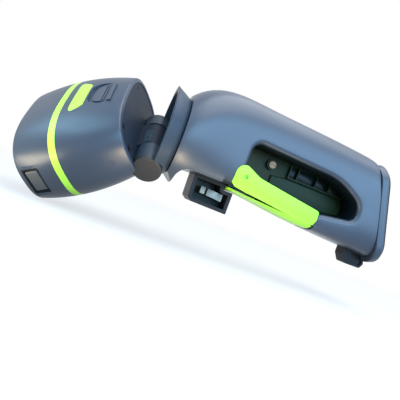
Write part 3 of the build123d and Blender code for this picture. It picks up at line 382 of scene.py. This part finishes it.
def web_panel(paint, colour, height):
    """The green panel on the web, with painted shade in the cells between its ribs."""
    colour, height, sheen = seam_and_wall_shade(paint, colour, height)
    depth, run, rise = paint.along("Y"), paint.along("X"), paint.along("Z")
    panel = ((depth < WEB_FACE) * (run > PANEL_FROM) * (run < PANEL_TO)
             * (abs(rise) < PANEL_HALF_HEIGHT))
    # Painted shade in the cells between the ribs.
    cells = ((depth > WEB_FACE - RIB_RISE) * (run > CELLS_FROM) * (rise > CELL_FLOOR)
             * (rise < CELL_ROOF))
    fade = paint.ramp(run * OLIVE_RUN - OLIVE_START, *OLIVE_FADE)
    green = paint.blend(fade * paint.noise(OLIVE_CLOUDS, 3.0), PANEL_GREEN, PANEL_OLIVE)
    green = paint.blend(cells, green, CELL_SHADE)
    return paint.blend(panel, colour, green), height, sheen * (1.0 - panel)


def slate_nylon(name, roughness=0.40, mark=None, shine=0.55):
    """The slate grey of all the casings."""
    return moulded(name, SLATE_DARK, SLATE_LIGHT, roughness, SLATE_SCUFF, mark, shine)


dress(slate_nylon("slate_plastic_half", mark=seam_and_wall_shade, shine=0.95), "handle_shell_near")
dress(slate_nylon("slate_plastic_web", mark=web_panel, shine=0.95), "handle_shell_far")


# ---- Panel in the hand opening: a swollen rest for the palm along its foot, in green-black
# ---- nylon; panes in the cells and a ladder of small ribs on the rear wall, in a near-black
# ---- that is painted shade.
PANEL_LIGHT, PANE_SHADE_LIGHT = (0.018, 0.034, 0.012, 1), (0.006, 0.014, 0.012, 1)

# Sizes and places in millimetres, as those of all the pieces below.
PALM_EDGE = ((112, 0.6), (129, 2.6), (173, 2.6), (184, 0.9), (190.5, -3.5), (193.6, -9),
             (192.6, -13.2), (189, -14.6), (157, -18.4), (112, -13.6))
PALM_BASE, PALM_RISE, PALM_ROUND = 4.2, 2.4, 1.4
CELLS = (129.2, 136.9), (138.1, 157.4), (158.6, 172.4), (173.6, 192.8)
PANE_GAP, PANE_FOOT, PANE_HEAD = 0.3, 4.5, 15.6
PANE_BASE, PANE_RISE, PANE_ROUND = 4.1, 0.7, 0.4
LADDER_CENTRE, LADDER_RADIUS, LADDER_STEPS = (180.6, -0.5, -6.8), 13.6, 8
LADDER_START, LADDER_TURN = -14, 8.5
RUNG_SIZE, RUNG_ROUND = (1.0, 6.0, 0.9), 0.2


def at(x, y, z):
    """A place given in millimetres from the swivel's centre."""
    return HUB + Vector((x, y, z)) / 1000


def round_over(bm, edges, radius, steps=2, clamp=False):
    """Rounds edges by a radius in millimetres."""
    bmesh.ops.bevel(bm, geom=edges, offset=radius / 1000, segments=steps, profile=0.5,
                    affect="EDGES", material=-1, clamp_overlap=clamp)


def make(name, bm, material, body, bend=35):
    """Turns a finished bmesh into a piece that rides on a body."""
    bmesh.ops.remove_doubles(bm, verts=bm.verts, dist=WELD)
    bmesh.ops.recalc_face_normals(bm, faces=bm.faces)
    for face in bm.faces:
        face.smooth = True
    for edge in bm.edges:
        edge.smooth = len(edge.link_faces) == 2 and edge.calc_face_angle(0) < radians(bend)
    mesh = bpy.data.meshes.new(name)
    bm.to_mesh(mesh)
    bm.free()
    mesh.materials.append(material)
    obj = bpy.data.objects.new(name, mesh)
    bpy.context.scene.collection.objects.link(obj)
    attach(obj, body)
    return obj


def relief(bm, corners, base, rise, rounding, steps=2):
    """A low plate on the web from its corners, with its near rim rounded over."""
    face = bm.faces.new([bm.verts.new(at(x, base, z)) for x, z in corners])
    grown = bmesh.ops.extrude_face_region(bm, geom=[face])["geom"]
    lid = [g for g in grown if isinstance(g, bmesh.types.BMFace)]
    bmesh.ops.translate(bm, verts=lid[0].verts, vec=(0, -rise / 1000, 0))
    round_over(bm, lid[0].edges, rounding, steps, clamp=True)


panel_plastic = moulded("panel_plastic", PANEL_GREEN, PANEL_LIGHT, roughness=0.42, shine=0.12)
# Painted shade: the panes in the cells and the ladder of ribs take the cells' near-black.
pane_plastic = moulded("pane_plastic", CELL_SHADE, PANE_SHADE_LIGHT, roughness=0.25, shine=0.12)

bm = bmesh.new()
relief(bm, PALM_EDGE, PALM_BASE, PALM_RISE, PALM_ROUND, steps=4)
make("palm_rest", bm, panel_plastic, "handle")

bm = bmesh.new()
for start, end in CELLS:
    start, end = start + PANE_GAP, end - PANE_GAP
    pane = (start, PANE_FOOT), (end, PANE_FOOT), (end, PANE_HEAD), (start, PANE_HEAD)
    relief(bm, pane, PANE_BASE, PANE_RISE, PANE_ROUND)
make("cell_panes", bm, pane_plastic, "handle")

bm = bmesh.new()
for step in range(LADDER_STEPS):
    turn = Matrix.Rotation(-radians(LADDER_START + step * LADDER_TURN), 3, "Y")
    rung = bmesh.ops.create_cube(bm, size=0.001)["verts"]
    bmesh.ops.scale(bm, verts=rung, vec=RUNG_SIZE)
    bmesh.ops.translate(bm, verts=rung, vec=(LADDER_RADIUS / 1000, 0, 0))
    bmesh.ops.rotate(bm, verts=rung, cent=(0, 0, 0), matrix=turn)
    bmesh.ops.translate(bm, verts=rung, vec=at(*LADDER_CENTRE))
    round_over(bm, [edge for edge in bm.edges if edge.verts[0] in rung], RUNG_ROUND)
make("grip_ladder", bm, pane_plastic, "handle")


# ---- Screws, pins and springs: zinc plated steel, black screws on the arm, and one bronze
# ---- coloured screw that holds the panel to its boss. The lever's spring stands in a pocket
# ---- of the rail, copied from its solid into a mesh of its own.
ZINC, ZINC_DARK = (0.60, 0.60, 0.61, 1), (0.38, 0.37, 0.35, 1)
BRONZE, BRONZE_DARK = (0.22, 0.14, 0.08, 1), (0.08, 0.05, 0.035, 1)
OXIDE, OXIDE_DARK = (0.045, 0.045, 0.048, 1), (0.025, 0.025, 0.026, 1)
TARNISH, TOOL_MARKS = 160.0, 300.0              # per metre
TARNISH_FADE, TARNISH_DULLING = ((0.42, 0.0), (0.70, 1.0)), 0.12
MARK_STRETCH, MARK_DULLING, MARK_BUMP, MARK_DEPTH = (1.0, 1.0, 8.0), 0.16, 0.25, 0.00002


def metal(name, colour, dark, roughness, turned=TOOL_MARKS):
    """Plated metal: fine tool marks in the gloss and a little tarnish."""
    paint = Paint(name)
    tarnish = paint.ramp(paint.noise(TARNISH, 4.0, 0.65), *TARNISH_FADE)
    marks = paint.noise(turned, 2.0, 0.5, MARK_STRETCH)
    rough = roughness + marks * MARK_DULLING + tarnish * TARNISH_DULLING
    return paint.finish(paint.blend(tarnish, colour, dark), rough,
                        (marks, MARK_BUMP, MARK_DEPTH), Metallic=1.0)


def cad_copy(name):
    """A bmesh copy of a solid's mesh, with its loose triangles joined."""
    bm = bmesh.new()
    bm.from_mesh(nodes[name].data)
    bmesh.ops.remove_doubles(bm, verts=bm.verts, dist=WELD)
    return bm


zinc = metal("zinc_steel", ZINC, ZINC_DARK, roughness=0.26)
dress(zinc, "handle_screws", "front_cover_screws", "end_plate_screws", "tilt_pin", "swivel_ring")
dress(metal("bronze_steel", BRONZE, BRONZE_DARK, roughness=0.36), "web_screw")
dress(metal("black_oxide_steel", OXIDE, OXIDE_DARK, roughness=0.38), "arm_screws")

bm = cad_copy("lever_spring")
spring = make("squeezed_spring", bm, zinc, "handle")
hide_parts("lever_spring")
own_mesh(spring)


# ---- Squeeze lever: a U-shaped trigger bar moulded in lime acetal, wrapped round the rail
# ---- on a steel pin whose ends are capped in the same lime.
LIME, LIME_LIGHT = (0.32, 0.87, 0.05, 1), (0.38, 0.91, 0.075, 1)
LIME_SCUFF = (0.62, 0.92, 0.22, 1)

lime = moulded("lime_plastic", LIME, LIME_LIGHT, roughness=0.36, scuff=LIME_SCUFF)
dress(lime, "squeeze_lever", "lever_pin")


# ---- Switch, cells and board: parts inside the handle, seen only through gaps. The switch
# ---- is black nylon, the cells are sleeved in blue film, the board is green laminate.
BLACK, BLACK_LIGHT = (0.010, 0.011, 0.013, 1), (0.017, 0.018, 0.020, 1)
BLACK_SCUFF = (0.07, 0.07, 0.075, 1)
SLEEVE, SLEEVE_LIGHT = (0.02, 0.09, 0.22, 1), (0.03, 0.12, 0.27, 1)
LAMINATE, LAMINATE_LIGHT = (0.010, 0.07, 0.030, 1), (0.016, 0.10, 0.040, 1)
NICKEL, NICKEL_DARK = (0.66, 0.64, 0.60, 1), (0.45, 0.42, 0.36, 1)

black = moulded("black_plastic", BLACK, BLACK_LIGHT, roughness=0.40, scuff=BLACK_SCUFF, shine=0.12)
nickel = metal("nickel_plate", NICKEL, NICKEL_DARK, roughness=0.22)
dress(black, "trigger_switch", "switch_plunger", "swivel_washer")
dress(moulded("cell_sleeve", SLEEVE, SLEEVE_LIGHT, roughness=0.30), "battery_cells")
dress(moulded("board_laminate", LAMINATE, LAMINATE_LIGHT, roughness=0.28), "control_board")
dress(nickel, "battery_contacts")


# ---- Contact bracket: an open black frame under the front of the handle, with a dark back
# ---- plate, pale nickel blades in it and one small screw at its rear.
BACK_DARK, BACK_LIGHT = (0.008, 0.022, 0.018, 1), (0.014, 0.032, 0.026, 1)
BLADE, BLADE_DARK = (0.16, 0.18, 0.165, 1), (0.09, 0.10, 0.09, 1)
SCREW_PLACE = (71.8, 3.6, -36.0)
SCREW_BASE, SCREW_TOP, SCREW_HEIGHT, SCREW_ROUND = 1.5, 1.2, 1.2, 0.3

dress(black, "contact_bracket")
dress(moulded("back_plate", BACK_DARK, BACK_LIGHT, roughness=0.30, shine=0.12), "contact_block")
dress(metal("pale_blade", BLADE, BLADE_DARK, roughness=0.45), "contact_blades")

bm = bmesh.new()
bmesh.ops.create_cone(bm, cap_ends=True, segments=20, radius1=SCREW_BASE / 1000,
                      radius2=SCREW_TOP / 1000, depth=SCREW_HEIGHT / 1000)
round_over(bm, [e for e in bm.edges if all(v.co.z > 0 for v in e.verts)], SCREW_ROUND)
bmesh.ops.rotate(bm, verts=bm.verts, cent=(0, 0, 0), matrix=Matrix.Rotation(pi / 2, 3, "X"))
bmesh.ops.translate(bm, verts=bm.verts, vec=at(*SCREW_PLACE))
make("bracket_screw", bm, nickel, "handle")


# ---- End plate and foot: a slate plate that leans over the end of the handle, edged by a
# ---- slate frame that stands proud of it. A thin black rubber pad lies on its face, and a
# ---- black plastic foot block hangs below.
END_AT, END_LEAN = 214.6, 16.5
END_MIDDLE, END_HALF_WIDTH, END_HALF_HEIGHT = 1.65, 28.6, 44.75
END_FOOT, END_DROP = -10.0, 5.2        # below this height the frame and pad are drawn down
CORNER_RADIUS, CORNER_STEPS = 19.0, 14
TOLERANCE = 0.0001             # in metres: how near a point is to a plane that it lies on
FRAME_WIDTH, FRAME_PROUD, FRAME_START, FRAME_END = 6.0, 0.7, 0.8, 9.2
FRAME_ROUND, FRAME_BACK_ROUND = 2.2, 0.6
PAD_INSET, PAD_START, PAD_END = 1.1, 8.8, 10.4
FOOT_TUCK = 3.4                # the foot ends this much nearer to the plate at its front
# The end pad's black rubber, also used as painted shade in the gap round the latch.
RUBBER_AND_SHADE, RUBBER_AND_SHADE_LIGHT = (0.006, 0.006, 0.007, 1), (0.010, 0.010, 0.011, 1)

slate = slate_nylon("slate_plastic")
rubber_and_shade = moulded("pad_rubber", RUBBER_AND_SHADE, RUBBER_AND_SHADE_LIGHT, roughness=0.62, shine=0.15)
dress(slate, "end_plate")


def end_slab(bm, start, end, proud):
    """A rounded slab between two distances from the handle's end, drawn down at its foot."""
    size = end - start, 2 * (END_HALF_WIDTH + proud), 2 * (END_HALF_HEIGHT + proud)
    bmesh.ops.create_cube(bm, size=0.001)
    bmesh.ops.scale(bm, verts=bm.verts, vec=size)
    corners = [e for e in bm.edges if abs((e.verts[0].co - e.verts[1].co).normalized().x) > 0.9]
    round_over(bm, corners, CORNER_RADIUS, CORNER_STEPS)
    bmesh.ops.translate(bm, verts=bm.verts, vec=((start + end) / 2000, 0, END_MIDDLE / 1000))
    low = [v for v in bm.verts if v.co.z < END_FOOT / 1000]
    bmesh.ops.translate(bm, verts=low, vec=(0, 0, -END_DROP / 1000))


def lean_end(bm):
    """Leans what is drawn on the swivel's axis to where the end plate stands."""
    lean = Matrix.Rotation(-radians(END_LEAN), 3, "Y")
    bmesh.ops.rotate(bm, verts=bm.verts, cent=(0, 0, 0), matrix=lean)
    bmesh.ops.translate(bm, verts=bm.verts, vec=at(END_AT, 0, 0))


bm = bmesh.new()
end_slab(bm, FRAME_START, FRAME_END, FRAME_PROUD)
caps = [f for f in bm.faces if abs(f.normal.x) > 0.9]
bmesh.ops.inset_region(bm, faces=caps, thickness=FRAME_WIDTH / 1000)
holes = [e for f in caps for e in f.edges]
bmesh.ops.delete(bm, geom=caps, context="FACES_ONLY")
bmesh.ops.bridge_loops(bm, edges=holes)
for x, rounding, steps in ((FRAME_END, FRAME_ROUND, 5), (FRAME_START, FRAME_BACK_ROUND, 2)):
    rims = [e for e in bm.edges if e.calc_face_angle(0) > 1
            and all(abs(v.co.x - x / 1000) < TOLERANCE for v in e.verts)]
    round_over(bm, rims, rounding, steps, clamp=True)
lean_end(bm)
make("end_frame", bm, slate, "handle")

bm = cad_copy("hanging_foot")
front, back = (f(v.co.x for v in bm.verts) for f in (min, max))
for vert in bm.verts:
    vert.co.x += FOOT_TUCK / 1000 * (back - vert.co.x) / (back - front)
foot = make("foot_block", bm, black, "handle", SMOOTH_BEND)
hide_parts("hanging_foot")

bm = bmesh.new()
end_slab(bm, PAD_START, PAD_END, -PAD_INSET)
lean_end(bm)
make("end_pad", bm, rubber_and_shade, "handle")


# ---- Neck: a slate disc that turns against the handle, dished in front, with two ears and
# ---- round caps over the ends of the tilt pin. The disc's rim is a flange, sharp and widest
# ---- in front and coned down to the handle.
DISC_DARK, DISC_LIGHT = (0.026, 0.040, 0.058, 1), (0.034, 0.050, 0.070, 1)
CAP_DARK, CAP_LIGHT = (0.026, 0.025, 0.026, 1), (0.034, 0.033, 0.034, 1)
FLANGE_RADIUS, FLANGE_SLOPE = 42.6, 0.52
FLANGE_INSIDE, FLANGE_RIM, LIP_DEPTH = 37.5, 41, 0.3

disc_slate = moulded("disc_plastic", DISC_DARK, DISC_LIGHT, roughness=0.40, scuff=SLATE_SCUFF,
                     shine=0.25)
cap_slate = moulded("cap_plastic", CAP_DARK, CAP_LIGHT, roughness=0.42, scuff=SLATE_SCUFF)
dress(cap_slate, "tilt_cap_near", "tilt_cap_far")

bm = cad_copy("swivel_disc")
for vert in bm.verts:
    depth = (vert.co.x - HUB.x) * 1000
    out = Vector((0, vert.co.y - HUB.y, vert.co.z - HUB.z)) * 1000
    cone = FLANGE_RADIUS - FLANGE_SLOPE * max(depth, 0)
    if out.length > FLANGE_INSIDE and (depth < LIP_DEPTH or out.length > cone):
        reach = cone if out.length > FLANGE_RIM else min(out.length, cone)
        rim = HUB + out.normalized() * reach / 1000
        vert.co.y, vert.co.z = rim.y, rim.z
flange = make("swivel_flange", bm, disc_slate, "neck", SMOOTH_BEND)
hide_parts("swivel_disc")


# ---- Tilt arm: the plate that closes the rear of the head and its short arm between the
# ---- ears, in slate made darker as painted shade, with a ribbed release button on the arm.
# A darker copy of the housing's slate and scuff: the extra darkness is painted shade.
ARM_SHADED_DARK, ARM_SHADED_LIGHT = (0.012, 0.018, 0.028, 1), (0.018, 0.025, 0.038, 1)
ARM_SHADED_SCUFF = (0.05, 0.055, 0.065, 1)
BUTTON_DARK, BUTTON_LIGHT = (0.045, 0.070, 0.085, 1), (0.058, 0.088, 0.104, 1)

shaded_arm_slate = moulded("arm_plastic", ARM_SHADED_DARK, ARM_SHADED_LIGHT, roughness=0.50, scuff=ARM_SHADED_SCUFF, shine=0.14)
button_slate = moulded("button_plastic", BUTTON_DARK, BUTTON_LIGHT, roughness=0.36)
dress(shaded_arm_slate, "tilt_arm")
dress(button_slate, "tilt_release_button")


# ---- Head shells: the barrel-shaped motor housing in the same slate nylon, split at a lime
# ---- band, with a bare lime label plate and a D-shaped thumb button on top.
BAND_LIME, BAND_LIGHT = (0.46, 0.96, 0.07, 1), (0.52, 0.98, 0.10, 1)

head_slate = slate_nylon("head_plastic", roughness=0.38)
band_lime = moulded("band_plastic", BAND_LIME, BAND_LIGHT, roughness=0.34)
dress(head_slate, "head_rear_shell", "head_front_shell", "head_front_cover", "thumb_button")
dress(band_lime, "head_band", "label_plate")


# ---- Latch: a slate bar in a pocket at the narrow end of the head. A black ring laid on
# ---- the pocket's floor round it is painted shade in the gap.
LATCH_DARK, LATCH_LIGHT = (0.085, 0.090, 0.092, 1), (0.110, 0.114, 0.112, 1)
SWIVEL_REST, TILT_REST = radians(40.8), radians(38.0)
NECK_FORWARD, NECK_DROP = 2.3, 15.6
REAR_GAP, HEAD_OFFSET, HEAD_SHIFT = 8.5, 18.0, 5.5
LATCH_AT, LATCH_DRIFT, LATCH_HEIGHT = 81.3, 1.04, 60.77
SHADE_RING_FLOOR, SHADE_RING_TOP, SHADE_RING_ROUND = -2.5, -1.0, 0.4
SHADE_RING_SIZE, SHADE_RING_WIDTH = (12.8, 7.8), 1.6

# The head's own directions at rest, and where the ring of painted shade stands in them.
down = Vector((0, sin(SWIVEL_REST), -cos(SWIVEL_REST)))
along = Vector((0, -cos(SWIVEL_REST), -sin(SWIVEL_REST)))
ahead = down * sin(TILT_REST) - Vector((1, 0, 0)) * cos(TILT_REST)
side = down * cos(TILT_REST) + Vector((1, 0, 0)) * sin(TILT_REST)
shade_ring_place = HUB + (Vector((-NECK_FORWARD, 0, 0)) + down * NECK_DROP
                    + ahead * (REAR_GAP + LATCH_AT) - side * HEAD_OFFSET
                    + along * (LATCH_DRIFT + LATCH_HEIGHT + SHADE_RING_FLOOR - HEAD_SHIFT)) / 1000

latch_slate = moulded("latch_plastic", LATCH_DARK, LATCH_LIGHT, roughness=0.38,
                      scuff=SLATE_SCUFF)
dress(latch_slate, "head_latch")

# A black ring of painted shade in the gap round the latch, in the end pad's black.
bm = bmesh.new()
bmesh.ops.create_grid(bm, x_segments=1, y_segments=1, size=0.001)
bmesh.ops.scale(bm, verts=bm.verts, vec=(*SHADE_RING_SIZE, 1))
rims = bmesh.ops.inset_region(bm, faces=bm.faces[:], thickness=SHADE_RING_WIDTH / 1000,
                              use_boundary=True, use_even_offset=True)["faces"]
bmesh.ops.delete(bm, geom=[f for f in bm.faces if f not in rims], context="FACES")
grown = bmesh.ops.extrude_face_region(bm, geom=bm.faces[:])["geom"]
bmesh.ops.translate(bm, verts=[g for g in grown if isinstance(g, bmesh.types.BMVert)],
                    vec=(0, 0, (SHADE_RING_TOP - SHADE_RING_FLOOR) / 1000))
top = [e for e in bm.edges if e.calc_face_angle(0) > 1
       and all(v.co.z > TOLERANCE for v in e.verts)]
round_over(bm, top, SHADE_RING_ROUND)
turn = Matrix((side, along.cross(side), along)).transposed().to_4x4()
bmesh.ops.transform(bm, matrix=Matrix.Translation(shade_ring_place) @ turn, verts=bm.verts)
make("latch_seal", bm, rubber_and_shade, "head")


# ---- Drive: a wound motor with its fan, a cast gear case and the steel output spindle,
# ---- all inside the head.
FERRITE, FERRITE_DARK = (0.10, 0.10, 0.11, 1), (0.06, 0.06, 0.07, 1)
CAST, CAST_DARK, CAST_MARKS = (0.62, 0.63, 0.65, 1), (0.42, 0.42, 0.43, 1), 120.0

dress(zinc, "motor_can", "motor_rotor", "output_spindle", "spindle_bearing", "rotor_bearing")
dress(metal("ferrite_magnet", FERRITE, FERRITE_DARK, roughness=0.50), "motor_magnets")
dress(metal("cast_aluminium", CAST, CAST_DARK, roughness=0.42, turned=CAST_MARKS), "gearbox_case")
dress(black, "cooling_fan")
